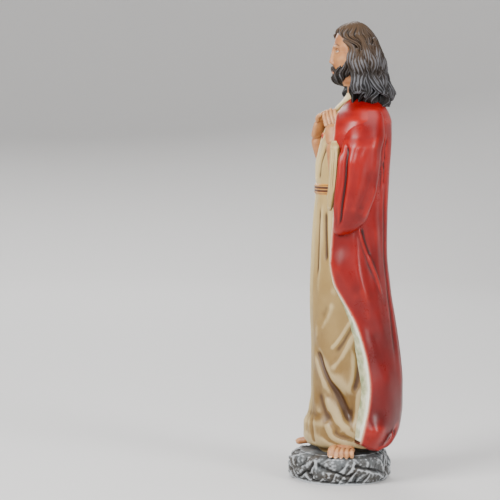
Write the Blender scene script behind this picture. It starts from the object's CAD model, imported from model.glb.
import bpy
import numpy as np
from mathutils import Matrix


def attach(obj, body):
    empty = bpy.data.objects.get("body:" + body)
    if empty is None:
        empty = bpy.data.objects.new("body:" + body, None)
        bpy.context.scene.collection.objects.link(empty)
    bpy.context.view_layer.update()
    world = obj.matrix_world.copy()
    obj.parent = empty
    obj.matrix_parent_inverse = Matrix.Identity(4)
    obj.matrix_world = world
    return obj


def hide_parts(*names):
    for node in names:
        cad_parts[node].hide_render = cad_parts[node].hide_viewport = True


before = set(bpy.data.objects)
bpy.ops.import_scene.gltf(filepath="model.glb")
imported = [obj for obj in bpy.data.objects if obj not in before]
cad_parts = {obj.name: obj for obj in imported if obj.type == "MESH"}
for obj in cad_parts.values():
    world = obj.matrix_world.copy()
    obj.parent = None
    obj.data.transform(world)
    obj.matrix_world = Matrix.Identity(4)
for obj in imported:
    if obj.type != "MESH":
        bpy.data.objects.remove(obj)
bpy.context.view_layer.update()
print("frame loaded")

figure = {"height": 281.0, "rockHeight": 19.0, "foldDepth": 1.35}
unit = figure["height"] / 100
millimetre = 0.001
foldShape = {
    "reach": 3.6,              # how far out a fold is worked out, in widths
    "run": 2.2,                # widths over which its ends fade ...
    "runShares": (0.18, 0.5),  # ... held between these shares of its length
    "endShare": 0.06,          # share of its rise left at its very ends
    "blunt": 0.3,              # how round its crest is, in widths
    "strokeEnds": (-0.12, 0.15),  # shares of the way over which a straight fold fades in
}


# Value of a table at places, by cubic pieces that don't overshoot.
def tableAt(rows, place, column=1):
    table = np.asarray(rows, float)
    x, y = table[:, 0], table[:, column]
    step = np.diff(x)
    rise = np.diff(y) / step
    slope = np.zeros(len(x))
    before, after = rise[:-1], rise[1:]
    same = before * after > 0
    slope[1:-1][same] = 2 * before[same] * after[same] / (before[same] + after[same])
    place = np.clip(place, x[0], x[-1])
    i = np.clip(np.searchsorted(x, place, side="right") - 1, 0, len(step) - 1)
    t = (place - x[i]) / step[i]
    a, b, total = slope[i] * step[i], slope[i + 1] * step[i], y[i + 1] - y[i]
    return y[i] + t * (a + t * (3 * total - 2 * a - b + t * (a + b - 2 * total)))


# First and last place of a table.
def endsOf(rows):
    return rows[0][0], rows[-1][0]


# Values of the first few columns after a table's column of places.
def columnsAt(rows, place, count):
    return [tableAt(rows, place, column) for column in range(1, count + 1)]


# Rises from 0 to 1 between two values, level at both.
def smooth(low, high, x):
    t = np.clip((x - low) / (high - low), 0, 1)
    return t * t * (3 - 2 * t)


# Bell of a distance: 1 at none, 0.37 at one width, almost 0 from two widths on.
def bell(distance, width):
    return np.exp(-(distance / width) ** 2)


# The same angle, between -180 and 180.
def wrapped(degrees):
    return degrees - 360 * np.round(degrees / 360)


# Sine and cosine of degrees.
def sine(degrees):
    return np.sin(np.radians(degrees))


def cosine(degrees):
    return np.cos(np.radians(degrees))


# Evenly spaced degrees of a full turn.
def fullTurn(count):
    return np.linspace(0, 360, count, endpoint=False)


# Points from their coordinates, each a number or a grid.
def spotsFrom(x, y, z):
    return np.stack(np.broadcast_arrays(x, y, z), -1)


# The same direction, one long.
def unitVector(v):
    return np.array(v) / np.linalg.norm(v)


# Smooth curve through points at shares t of its length: each span is a cubic whose slope at a
# point is half the step between its neighbours.
def curveAt(points, t):
    p = np.asarray(points, float)
    p = np.vstack([2 * p[0] - p[1], p, 2 * p[-1] - p[-2]])
    spans = len(p) - 3
    place = np.clip(t, 0, 1) * spans
    i = np.minimum(place.astype(int), spans - 1)
    u = (place - i)[:, None]
    a, b, c, d = p[i], p[i + 1], p[i + 2], p[i + 3]
    return 0.5 * (2 * b + u * (c - a + u * (2 * a - 5 * b + 4 * c - d + u * (3 * b - a - 3 * c + d))))


noiseLattice = np.random.default_rng(7).random((8, 24, 24, 24)) * 2 - 1


# Noise from -1 to 1 at points in millimetres: random values on a cubic lattice of the given
# size, blended by smooth steps.
def noiseAt(points, size, layer=0):
    place = points / size + 1000
    cell = np.floor(place).astype(int)
    u = place - cell
    u = u * u * (3 - 2 * u)
    lattice = noiseLattice[layer % 8]
    total = 0
    for corner in range(8):
        step = np.array([corner & 1, corner >> 1 & 1, corner >> 2 & 1])
        weight = np.prod(np.where(step, u, 1 - u), axis=-1)
        ix, iy, iz = np.moveaxis((cell + step) % 24, -1, 0)
        total = total + weight * lattice[ix, iy, iz]
    return total


# Straight folds of the solid: a bell across each stroke, faded at both of its ends.
def strokesAt(strokes, angle, height):
    total = np.zeros(np.broadcast(angle, height).shape)
    low, high = foldShape["strokeEnds"]
    for angle0, height0, angle1, height1, width, rise in strokes:
        t = (height - height0) / (height1 - height0)
        across = wrapped(angle - (angle0 + (angle1 - angle0) * np.clip(t, 0, 1)))
        total += rise * bell(across, width) * smooth(low, high, t) * smooth(1 - low, 1 - high, t)
    return total


# Distance of points from a path of short straight spans, the share of the way along it where the
# nearest spot lies, and the side of the path, from -1 on its right to 1 on its left.
def nearestOnPath(path, x, y):
    best = np.full(x.shape, 1e9)
    along, side = np.zeros(x.shape), np.zeros(x.shape)
    spans = len(path) - 1
    for k in range(spans):
        (ax, ay), (bx, by) = path[k], path[k + 1]
        dx, dy = bx - ax, by - ay
        t = np.clip(((x - ax) * dx + (y - ay) * dy) / (dx * dx + dy * dy), 0, 1)
        ex, ey = x - ax - t * dx, y - ay - t * dy
        distance = np.hypot(ex, ey)
        turned = (dx * ey - dy * ex) / (np.hypot(dx, dy) * np.maximum(distance, 1e-6))
        closer = distance < best
        best = np.where(closer, distance, best)
        along = np.where(closer, (k + t) / spans, along)
        side = np.where(closer, turned, side)
    return best, along, side


# Curved folds: a bell of the distance from a smooth path of (angle, height) points, wider on
# one side of it by the lean, and fading at the path's ends.
def foldsAt(folds, angle, height, degree):
    angle, height = np.broadcast_arrays(angle, height)
    total = np.zeros(angle.shape)
    for points, width, rise, lean in folds:
        first = points[0][0]
        path = np.array([[wrapped(a - first) * degree, h] for a, h in points])
        path = curveAt(path, np.linspace(0, 1, 8 * (len(points) - 1) + 1))
        x, y = wrapped(angle - first) * degree, height
        reach = foldShape["reach"] * width * (1 + abs(lean))
        near = ((x > path[:, 0].min() - reach) & (x < path[:, 0].max() + reach)
                & (y > path[:, 1].min() - reach) & (y < path[:, 1].max() + reach))
        best, along, side = nearestOnPath(path, x[near], y[near])
        length = np.hypot(*np.diff(path, axis=0).T).sum()
        run = np.clip(foldShape["run"] * width / length, *foldShape["runShares"])
        least, blunt = foldShape["endShare"], foldShape["blunt"] * width
        fade = least + (1 - least) * smooth(0, run, along) * smooth(1, 1 - run, along)
        away = (np.sqrt(best ** 2 + blunt ** 2) - blunt) / (width * (1 + lean * side))
        total[near] += rise * fade * np.exp(-np.clip(away, 0, 6) ** 2)
    return total


# A field on a grid with each value drawn half way to the mean of its neighbours, some times over.
def softened(field, rounds):
    for _ in range(rounds):
        wide = np.pad(field, 1, mode="edge")
        field = (wide[:-2, 1:-1] + wide[2:, 1:-1] + wide[1:-1, :-2] + wide[1:-1, 2:] + 4 * field) / 8
    return field


# Rise of a cloth: the solid's straight folds at a share of their depth, and softened curved ones.
def clothRise(shape, folds, angle, height):
    rise = figure["foldDepth"] * shape["strokeShare"] * strokesAt(shape["strokes"], angle, height)
    return rise + softened(foldsAt(folds, angle, height, shape["degree"]), shape["softRounds"])


# Point of a level section at an angle: half an ellipse in front of its axis, half behind.
def sectionPoint(axis, front, back, width, angle, height, rise=0):
    s, c = sine(angle), cosine(angle)
    depth = np.where(c > 0, axis - front, back - axis)
    return spotsFrom(s * (width + rise) * unit, (axis - c * (depth + rise)) * unit,
                     figure["rockHeight"] + height * unit)


bodyAxis = [[-1, 3.4], [15, 3.9], [29, 3.2], [47, 2.2], [64, 2.5], [79, 3.2], [84, 3.6]]


# Point of the figure at an angle: the section at its height, scaled about the body's own axis.
def bodyPoint(sections, angle, height, scale=1, rise=0):
    axis = tableAt(bodyAxis, height)
    front, back, width = columnsAt(sections, height, 3)
    return sectionPoint(axis, axis + scale * (front - axis), axis + scale * (back - axis), scale * width,
                        angle, height, rise)


# Quads of a grid whose rows are closed rings. A looped grid also joins its last row to its first.
def ringQuads(rows, columns, looped=False):
    j, i = np.mgrid[0:rows if looped else rows - 1, 0:columns]
    k, above = (i + 1) % columns, (j + 1) % rows
    corners = [j * columns + i, j * columns + k, above * columns + k, above * columns + i]
    return np.stack(corners, -1).reshape(-1, 4)


# Vertices, quads and triangles of a grid of rings, facing out. A fan shuts it at each end, unless
# it is looped, a tube that closes on itself.
def ringPart(grid, looped=False):
    rows, columns, _ = grid.shape
    vertices, quads, fans = grid.reshape(-1, 3), ringQuads(rows, columns, looped), np.zeros((0, 3), int)
    if not looped:
        vertices = np.vstack([vertices, grid[0].mean(0), grid[-1].mean(0)])
        i = np.arange(columns)
        k = (i + 1) % columns
        top, end = (rows - 1) * columns, rows * columns
        low = np.stack([k, i, np.full(columns, end)], -1)
        high = np.stack([top + i, top + k, np.full(columns, end + 1)], -1)
        fans = np.vstack([low, high])
    a, b, c, d = (vertices[quads[:, n]] for n in range(4))
    volume = np.einsum("ij,ij->", a, np.cross(b, c)) + np.einsum("ij,ij->", a, np.cross(c, d))
    if volume < 0:
        quads, fans = quads[:, ::-1], fans[:, ::-1]
    return vertices, quads, fans


# One mesh from several parts, in metres, with smooth faces.
def meshFromParts(name, parts):
    vertices, quads, fans, count = [], [], [], 0
    for points, fours, threes in parts:
        vertices.append(points)
        quads.append(fours + count)
        fans.append(threes + count)
        count += len(points)
    vertices, quads, fans = np.vstack(vertices), np.vstack(quads), np.vstack(fans)
    mesh = bpy.data.meshes.new(name)
    mesh.vertices.add(len(vertices))
    mesh.vertices.foreach_set("co", (vertices * millimetre).ravel())
    mesh.loops.add(quads.size + fans.size)
    mesh.loops.foreach_set("vertex_index", np.concatenate([quads.ravel(), fans.ravel()]))
    starts = np.concatenate([np.arange(len(quads)) * 4, quads.size + np.arange(len(fans)) * 3])
    mesh.polygons.add(len(starts))
    mesh.polygons.foreach_set("loop_start", starts)
    mesh.polygons.foreach_set("use_smooth", np.ones(len(starts), bool))
    mesh.update(calc_edges=True)
    mesh.validate()
    return mesh


# How far each vertex lies under the surface smoothed by its neighbours, in millimetres, over a
# few rounds of smoothing (crease) and over many (fold). Hollows are positive, ridges negative,
# and the poles, where many edges meet, stay unmarked.
def markHollows(mesh, foldRounds, creaseRounds, foldSize, creaseSize):
    count = len(mesh.vertices)
    spots = np.empty(count * 3)
    mesh.vertices.foreach_get("co", spots)
    spots = spots.reshape(-1, 3) / millimetre
    normals = np.empty(count * 3)
    mesh.vertices.foreach_get("normal", normals)
    normals = normals.reshape(-1, 3)
    ends = np.empty(len(mesh.edges) * 2, int)
    mesh.edges.foreach_get("vertices", ends)
    a, b = ends[::2], ends[1::2]
    both, other = np.concatenate([a, b]), np.concatenate([b, a])
    degree = np.maximum(np.bincount(both, minlength=count), 1)
    soft = spots.copy()
    for step in range(1, foldRounds + 1):
        soft = np.stack([np.bincount(both, soft[other, n], count) / degree for n in range(3)], -1)
        if step == creaseRounds:
            crease = np.einsum("ij,ij->i", soft - spots, normals)
    fold = np.einsum("ij,ij->i", soft - spots, normals)
    pole = degree > 8
    plain = pole | (np.bincount(both, pole[other], count) > 0)
    crease[plain], fold[plain] = 0, 0
    setMark(mesh, "crease", np.clip(crease / creaseSize, -1, 1))
    setMark(mesh, "fold", np.clip(fold / foldSize, -1, 1))


# Keeps one number for each vertex, for the paint to read.
def setMark(mesh, name, values):
    mark = mesh.attributes.new(name, "FLOAT", "POINT")
    mark.data.foreach_set("value", np.asarray(values, np.float32))


# Puts a thing in the scene.
def addObject(name, data):
    thing = bpy.data.objects.new(name, data)
    bpy.context.scene.collection.objects.link(thing)
    return thing


# Puts a mesh in the scene as a piece of the statue, with its marks, from rounds and sizes of
# fold and crease, and its paint.
def addPiece(mesh, marks, material):
    markHollows(mesh, *marks)
    piece = addObject(mesh.name, mesh)
    mesh.materials.clear()
    mesh.materials.append(material)
    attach(piece, "root")
    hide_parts("statue")
    print("piece", mesh.name, sum(len(face.vertices) - 2 for face in mesh.polygons), "triangles")


# Grid in hundredths of the figure's height, above the rock, moved to millimetres above the table.
def placed(grid):
    return grid * unit + (0, 0, figure["rockHeight"])


bar = {
    "samples": 400,    # points that measure the path's length
    "crowding": 0.35,  # how far the rings crowd toward both ends
    "endRound": 0.9,   # length of the rounded ends, in half widths
    "tip": 0.015,      # share of the width left at the very ends
}


# Bar along a smooth path of [x, y, height, half width, half thickness] rows: ellipses square to
# the path, rounded off at both ends, with the width turned toward the across vector. Ribs are
# grooves along it: how many, how deep.
def barPart(path, across=(1, 0, 0), sides=28, rows=48, ribs=(0, 0)):
    fine = curveAt(path, np.linspace(0, 1, bar["samples"]))
    length = np.concatenate([[0], np.cumsum(np.linalg.norm(np.diff(fine[:, :3], axis=0), axis=1))])
    total = length[-1]
    cap = bar["endRound"] * (fine[0, 3] + fine[-1, 3]) / 2 / total
    s = np.linspace(0, 1, rows)
    s = s - bar["crowding"] * sine(360 * s) / (2 * np.pi)
    line = np.stack([np.interp(s * total, length, fine[:, n]) for n in range(5)], -1)
    along = np.gradient(line[:, :3], axis=0)
    along /= np.linalg.norm(along, axis=1)[:, None]
    over = np.cross(along, np.asarray(across, float))
    over /= np.linalg.norm(over, axis=1)[:, None]
    wide = np.cross(over, along)
    edge = np.clip(np.minimum(s, 1 - s) / min(cap, 0.5), 0, 1)
    draw = bar["tip"] + (1 - bar["tip"]) * np.sqrt(np.clip(1 - (1 - edge) ** 2, 0, 1))
    turn = fullTurn(sides)
    swell = 1 + ribs[1] * cosine(ribs[0] * turn)
    grid = (line[:, None, :3]
            + (draw * line[:, 3])[:, None, None] * (swell * cosine(turn))[None, :, None] * wide[:, None]
            + (draw * line[:, 4])[:, None, None] * (swell * sine(turn))[None, :, None] * over[:, None])
    return ringPart(placed(grid))


# Rows of a bar from its spots, each with a half width and a half thickness.
def barRows(*spots):
    return [[*spot, wide, thin] for spot, wide, thin in spots]


# Fuses overlapping parts into one skin on a fine voxel grid, then rounds its creases a little.
def fusedMesh(name, parts, voxel, rounds):
    rough = addObject(name + "_parts", meshFromParts(name + "_parts", parts))
    remesh = rough.modifiers.new("fuse", "REMESH")
    remesh.mode = "VOXEL"
    remesh.voxel_size = voxel * millimetre
    remesh.use_smooth_shade = True
    relax = rough.modifiers.new("relax", "SMOOTH")
    relax.factor = 0.5
    relax.iterations = rounds
    graph = bpy.context.evaluated_depsgraph_get()
    fused = bpy.data.meshes.new_from_object(rough.evaluated_get(graph), depsgraph=graph)
    bpy.data.objects.remove(rough)
    fused.name = name
    return fused


# A node with its settings.
def addNode(tree, kind, **settings):
    node = tree.nodes.new(kind)
    for key, value in settings.items():
        setattr(node, key, value)
    return node


# Joins a value, a colour or another node's output to an input.
def feed(tree, socket, source):
    if isinstance(source, bpy.types.NodeSocket):
        tree.links.new(source, socket)
    else:
        socket.default_value = source


# Result of one operation on values or other nodes' outputs.
def mathNode(tree, operation, *sources):
    node = addNode(tree, "ShaderNodeMath", operation=operation)
    for socket, source in zip(node.inputs, sources):
        feed(tree, socket, source)
    return node.outputs[0]


# Sum of values, each times its weight.
def sumNode(tree, *terms):
    total = None
    for source, weight in terms:
        part = mathNode(tree, "MULTIPLY", source, weight)
        total = part if total is None else mathNode(tree, "ADD", total, part)
    return total


# Value moved from one range to another and held inside it.
def rangeNode(tree, source, low, high, newLow=0.0, newHigh=1.0):
    node = addNode(tree, "ShaderNodeMapRange", interpolation_type="SMOOTHSTEP")
    for name, value in (("Value", source), ("From Min", low), ("From Max", high),
                        ("To Min", newLow), ("To Max", newHigh)):
        feed(tree, node.inputs[name], value)
    return node.outputs["Result"]


# Two colours mixed by a factor.
def mixNode(tree, factor, first, second):
    node = addNode(tree, "ShaderNodeMix", data_type="RGBA")
    feed(tree, node.inputs[0], factor)
    feed(tree, node.inputs[6], first)
    feed(tree, node.inputs[7], second)
    return node.outputs[2]


# Noise from 0 to 1 over the surface.
def noiseNode(tree, vector, scale, detail=3.0, rough=0.55):
    node = addNode(tree, "ShaderNodeTexNoise")
    feed(tree, node.inputs["Vector"], vector)
    feed(tree, node.inputs["Scale"], scale)
    node.inputs["Detail"].default_value = detail
    node.inputs["Roughness"].default_value = rough
    return node.outputs["Fac"]


# An empty node group with named inputs and outputs: the group, and the sockets inside it.
def newGroup(name, inputs, outputs):
    tree = bpy.data.node_groups.new(name, "ShaderNodeTree")
    for label, kind in inputs:
        tree.interface.new_socket(name=label, in_out="INPUT", socket_type=kind)
    for label, kind in outputs:
        tree.interface.new_socket(name=label, in_out="OUTPUT", socket_type=kind)
    entry, end = addNode(tree, "NodeGroupInput"), addNode(tree, "NodeGroupOutput")
    return tree, entry.outputs, end.inputs


value, colour, vector = "NodeSocketFloat", "NodeSocketColor", "NodeSocketVector"
# weights of fold, crease and noise in each mask, and the range of their sum that it covers
washBlend = {"fold": 1.1, "crease": 0.6, "uneven": 0.3, "range": (-0.05, 1.0)}
brushBlend = {"fold": -0.6, "crease": -0.6, "uneven": 0.9, "range": (0.0, 0.7), "stretch": (1, 1, 0.35)}
filmBlend = {"grain": 0.45, "slow": 0.55, "slowScale": 0.07, "range": (0.3, 0.7)}
paintOver = [("Fold", value), ("Crease", value), ("Amount", value)]


# Thin dark wash that has run into folds and creases and dried unevenly: the mask rises with the
# depth of both and with noise.
def makeWashGroup():
    tree, given, result = newGroup(
        "antique wash",
        [("Vector", vector), ("Paint", colour), ("Wash", colour), *paintOver, ("Patch Scale", value)],
        [("Color", colour), ("Mask", value)])
    patches = noiseNode(tree, given["Vector"], given["Patch Scale"], 4)
    hollow = sumNode(tree, (given["Fold"], washBlend["fold"]), (given["Crease"], washBlend["crease"]),
                     (mathNode(tree, "SUBTRACT", patches, 0.5), washBlend["uneven"]))
    mask = mathNode(tree, "MULTIPLY", rangeNode(tree, hollow, *washBlend["range"]), given["Amount"])
    feed(tree, result["Color"], mixNode(tree, mask, given["Paint"], given["Wash"]))
    feed(tree, result["Mask"], mask)
    return tree


# Pale paint dragged by a dry brush over ridges, broken into short streaks by stretched noise.
def makeBrushGroup():
    tree, given, result = newGroup(
        "dry brush",
        [("Vector", vector), ("Paint", colour), ("Brush", colour), *paintOver, ("Reach", value),
         ("Streak Scale", value)],
        [("Color", colour), ("Mask", value)])
    stretch = addNode(tree, "ShaderNodeVectorMath", operation="MULTIPLY")
    feed(tree, stretch.inputs[0], given["Vector"])
    stretch.inputs[1].default_value = brushBlend["stretch"]
    streaks = noiseNode(tree, stretch.outputs[0], given["Streak Scale"], 5, 0.7)
    ridge = sumNode(tree, (given["Crease"], brushBlend["crease"]), (given["Fold"], brushBlend["fold"]),
                    (mathNode(tree, "SUBTRACT", streaks, 0.5), brushBlend["uneven"]))
    height = mathNode(tree, "SUBTRACT", ridge, given["Reach"])
    mask = mathNode(tree, "MULTIPLY", rangeNode(tree, height, *brushBlend["range"]), given["Amount"])
    feed(tree, result["Color"], mixNode(tree, mask, given["Paint"], given["Brush"]))
    feed(tree, result["Mask"], mask)
    return tree


# Film of hand brushed paint: faint brush lines and grain as a height, and an uneven shine.
def makeFilmGroup():
    tree, given, result = newGroup(
        "paint film",
        [("Vector", vector), ("Grain Scale", value), ("Dull", value), ("Shiny", value)],
        [("Height", value), ("Roughness", value)])
    grain = noiseNode(tree, given["Vector"], given["Grain Scale"], 4, 0.6)
    slowScale = mathNode(tree, "MULTIPLY", given["Grain Scale"], filmBlend["slowScale"])
    slow = noiseNode(tree, given["Vector"], slowScale, 3)
    both = sumNode(tree, (grain, filmBlend["grain"]), (slow, filmBlend["slow"]))
    shine = rangeNode(tree, both, *filmBlend["range"], given["Shiny"], given["Dull"])
    feed(tree, result["Height"], both)
    feed(tree, result["Roughness"], shine)
    return tree


washGroup, brushGroup, filmGroup = makeWashGroup(), makeBrushGroup(), makeFilmGroup()


# A group placed in a material, with its inputs. An underscore stands for a space in their names.
def placeGroup(tree, group, **sources):
    node = addNode(tree, "ShaderNodeGroup", node_tree=group)
    for name, source in sources.items():
        feed(tree, node.inputs[name.replace("_", " ")], source)
    return node.outputs


# A mark of the mesh.
def markNode(tree, name):
    return addNode(tree, "ShaderNodeAttribute", attribute_name=name).outputs["Fac"]


# One coordinate of a place.
def axisNode(tree, place, axis):
    split = addNode(tree, "ShaderNodeSeparateXYZ")
    feed(tree, split.inputs[0], place)
    return split.outputs[axis]


# A screen colour, 0 to 255, as the linear colour that a socket takes.
def rgba(colour8):
    c = np.array(colour8) / 255
    linear = np.where(c <= 0.04045, c / 12.92, ((c + 0.055) / 1.055) ** 2.4)
    return (*linear.tolist(), 1.0)


# Hand painted finish: a base paint that varies a little in patches, a wash in the hollows, dry
# brushing on the ridges, and the paint film's own shine and grain. Extra changes the base paint
# and washTone the wash.
def paintMaterial(name, look, extra=None, washTone=None):
    look = plainLook | look
    material = bpy.data.materials.new(name)
    material.use_nodes = True
    tree = material.node_tree
    tree.nodes.clear()
    shader = addNode(tree, "ShaderNodeBsdfPrincipled")
    shader.inputs["Specular IOR Level"].default_value = look["specular"]
    tree.links.new(shader.outputs[0], addNode(tree, "ShaderNodeOutputMaterial").inputs["Surface"])
    place = addNode(tree, "ShaderNodeTexCoord").outputs["Object"]
    fold, crease = markNode(tree, "fold"), markNode(tree, "crease")
    patches = rangeNode(tree, noiseNode(tree, place, look["patchScale"], 3), *look["patchRange"])
    paint = mixNode(tree, patches, rgba(look["paint"]), rgba(look["shade"]))
    if extra:
        paint = extra(tree, place, paint)
    wash = washTone(tree, place) if washTone else rgba(look["wash"])
    washed = placeGroup(tree, washGroup, Vector=place, Paint=paint, Wash=wash, Fold=fold,
                        Crease=crease, Amount=look["washAmount"], Patch_Scale=look["washScale"])
    brushed = placeGroup(tree, brushGroup, Vector=place, Paint=washed["Color"],
                         Brush=rgba(look["brush"]), Fold=fold, Crease=crease,
                         Amount=look["brushAmount"], Reach=look["reach"],
                         Streak_Scale=look["streakScale"])
    film = placeGroup(tree, filmGroup, Vector=place, Grain_Scale=look["grainScale"],
                      Dull=look["dull"], Shiny=look["shiny"])
    feed(tree, shader.inputs["Base Color"], brushed["Color"])
    feed(tree, shader.inputs["Roughness"], film["Roughness"])
    bump = addNode(tree, "ShaderNodeBump")
    bump.inputs["Strength"].default_value = look["grainStrength"]
    bump.inputs["Distance"].default_value = look["grainDepth"] * millimetre
    feed(tree, bump.inputs["Height"], film["Height"])
    feed(tree, shader.inputs["Normal"], bump.outputs["Normal"])
    return material


# Colours are as on a screen, scales in waves a metre, grain depths in millimetres.
plainLook = {"specular": 0.5, "reach": 0.05, "patchRange": (0.3, 0.7)}
redLook = {
    "paint": (142, 4, 1), "shade": (106, 2, 2), "patchScale": 34.0,
    "wash": (34, 2, 2), "washAmount": 0.92, "washScale": 60.0,
    "brush": (182, 30, 14), "brushAmount": 0.35, "streakScale": 90.0, "reach": 0.1,
    "grainScale": 1500.0, "grainStrength": 0.12, "grainDepth": 0.08,
    "dull": 0.38, "shiny": 0.26, "specular": 0.4,
    "low": (76, 5, 5), "lowAmount": 0.85, "lowHeights": (0.02, 0.2), "rim": (220, 186, 158),
}
creamLook = {
    "paint": (182, 154, 96), "shade": (166, 135, 76), "patchScale": 38.0,
    "wash": (62, 34, 10), "washAmount": 0.92, "washScale": 80.0,
    "brush": (222, 200, 150), "brushAmount": 0.4, "streakScale": 110.0, "reach": 0.14,
    "grainScale": 1400.0, "grainStrength": 0.3, "grainDepth": 0.1, "dull": 0.52, "shiny": 0.38,
    "low": (104, 72, 22), "lowAmount": 0.95, "lowHeights": (0.02, 0.22),
    # the lighter cream of the right side, and where it turns into the darker one
    "light": (242, 228, 178), "lightWash": (150, 118, 64), "turnsAt": (-0.016, 0.014),
}
liningLook = {
    "paint": (204, 202, 166), "shade": (136, 146, 106), "patchScale": 170.0,
    "wash": (84, 82, 48), "washAmount": 0.85, "washScale": 300.0,
    "brush": (240, 238, 220), "brushAmount": 0.75, "streakScale": 520.0,
    "grainScale": 1400.0, "grainStrength": 0.35, "grainDepth": 0.12, "dull": 0.55, "shiny": 0.4,
}
skinLook = {
    "paint": (184, 126, 76), "shade": (158, 98, 56), "patchScale": 110.0,
    "wash": (84, 38, 18), "washAmount": 0.9, "washScale": 260.0,
    "brush": (226, 178, 132), "brushAmount": 0.45, "streakScale": 300.0,
    "grainScale": 1600.0, "grainStrength": 0.2, "grainDepth": 0.08, "dull": 0.5, "shiny": 0.36,
}
hairLook = {
    "paint": (13, 11, 12), "shade": (26, 19, 15), "patchScale": 60.0,
    "wash": (7, 6, 6), "washAmount": 0.95, "washScale": 200.0,
    "brush": (112, 113, 118), "brushAmount": 0.6, "streakScale": 90.0, "reach": 0.62,
    "grainScale": 1800.0, "grainStrength": 0.25, "grainDepth": 0.08,
    "dull": 0.6, "shiny": 0.46, "specular": 0.22,
    # brown of the crown, where it starts and is full, and how it fades to a share at the back
    "crown": (76, 56, 36), "crownAmount": 0.85, "crownHeights": (0.256, 0.29),
    "crownAhead": (0.03, 0.0), "crownBehind": 0.45,
}
rockLook = {
    "paint": (86, 90, 92), "shade": (56, 49, 41), "patchScale": 75.0,
    "wash": (17, 16, 16), "washAmount": 0.95, "washScale": 120.0,
    "brush": (192, 196, 200), "brushAmount": 0.62, "streakScale": 460.0, "reach": 0.16,
    "grainScale": 1300.0, "grainStrength": 0.5, "grainDepth": 0.25, "dull": 0.75, "shiny": 0.5,
}
beltLook = {
    "paint": (92, 48, 20), "shade": (72, 36, 16), "patchScale": 120.0,
    "wash": (34, 17, 8), "washAmount": 0.9, "washScale": 240.0,
    "brush": (208, 146, 58), "brushAmount": 0.9, "streakScale": 300.0,
    "grainScale": 1500.0, "grainStrength": 0.2, "grainDepth": 0.08, "dull": 0.45, "shiny": 0.3,
}
nailLook = dict(skinLook, paint=(216, 168, 130), shade=(206, 154, 116), washAmount=0.5, shiny=0.28, dull=0.36)
faceLook = dict(skinLook, brushAmount=0.15, washAmount=0.65)
heartLook = dict(redLook, paint=(176, 22, 20), brushAmount=0.6, brush=(214, 150, 70))
# painted features of the face: mark, colour, strength
features = [
    ["lips", (178, 96, 78), 0.55], ["eyeWhite", (226, 214, 196), 0.95], ["iris", (84, 56, 36), 1.0],
    ["pupil", (16, 12, 10), 1.0], ["lash", (46, 30, 24), 0.85], ["brow", (58, 42, 34), 0.85]]


# noise of the stains at the hem: scale, its range and the shares that it gives; and of worn edges
stains = {"scale": 45.0, "range": (0.25, 0.75), "shares": (0.8, 1.1), "leastOnRight": 0.2}
wear = {"scale": 220.0, "range": (0.2, 0.5)}


# Share of a second tone that grows toward the hem, broken up in patches.
def lowShare(tree, place, look):
    low = rangeNode(tree, axisNode(tree, place, "Z"), *look["lowHeights"], look["lowAmount"], 0.0)
    uneven = rangeNode(tree, noiseNode(tree, place, stains["scale"], 4), *stains["range"], *stains["shares"])
    return mathNode(tree, "MULTIPLY", low, uneven)


# The red is deeper toward the hem, and rubbed pale along the cloak's front edges.
def deeperBelow(tree, place, paint):
    paint = mixNode(tree, lowShare(tree, place, redLook), paint, rgba(redLook["low"]))
    worn = rangeNode(tree, noiseNode(tree, place, wear["scale"], 3), *wear["range"])
    rubbed = mathNode(tree, "MULTIPLY", markNode(tree, "rim"), worn)
    return mixNode(tree, rubbed, paint, rgba(redLook["rim"]))


# Share of the darker cream: none on the figure's right side, full on its left.
def leftShare(tree, place):
    return rangeNode(tree, axisNode(tree, place, "X"), *creamLook["turnsAt"])


# The cream is lighter on the figure's right, and stained with ochre toward the hem on its left.
def ochreBelow(tree, place, paint):
    side = leftShare(tree, place)
    paint = mixNode(tree, side, rgba(creamLook["light"]), paint)
    least = mathNode(tree, "MAXIMUM", side, stains["leastOnRight"])
    stain = mathNode(tree, "MULTIPLY", lowShare(tree, place, creamLook), least)
    return mixNode(tree, stain, paint, rgba(creamLook["low"]))


# The wash is lighter on the figure's right too.
def creamWash(tree, place):
    return mixNode(tree, leftShare(tree, place), rgba(creamLook["lightWash"]), rgba(creamLook["wash"]))


# The hair is brown over the forehead and the parting, and charcoal below.
def brownAbove(tree, place, paint):
    up, back = axisNode(tree, place, "Z"), axisNode(tree, place, "Y")
    high = rangeNode(tree, up, *hairLook["crownHeights"], 0.0, hairLook["crownAmount"])
    ahead = rangeNode(tree, back, *hairLook["crownAhead"], hairLook["crownBehind"], 1.0)
    return mixNode(tree, mathNode(tree, "MULTIPLY", high, ahead), paint, rgba(hairLook["crown"]))


# Painted features over the flesh, from the head's marks.
def paintFace(tree, place, paint):
    for name, tone, share in features:
        strength = mathNode(tree, "MULTIPLY", markNode(tree, name), share)
        paint = mixNode(tree, strength, paint, rgba(tone))
    return paint


redPaint = paintMaterial("red paint", redLook, deeperBelow)
creamPaint = paintMaterial("cream paint", creamLook, ochreBelow, creamWash)
liningPaint = paintMaterial("lining paint", liningLook)
skinPaint = paintMaterial("flesh paint", skinLook)
nailPaint = paintMaterial("nail paint", nailLook)
facePaint = paintMaterial("face paint", faceLook, paintFace)
hairPaint = paintMaterial("hair paint", hairLook, brownAbove)
rockPaint = paintMaterial("stone paint", rockLook)
beltPaint = paintMaterial("belt paint", beltLook)
heartPaint = paintMaterial("heart paint", heartLook)
print("paints made")

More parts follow.
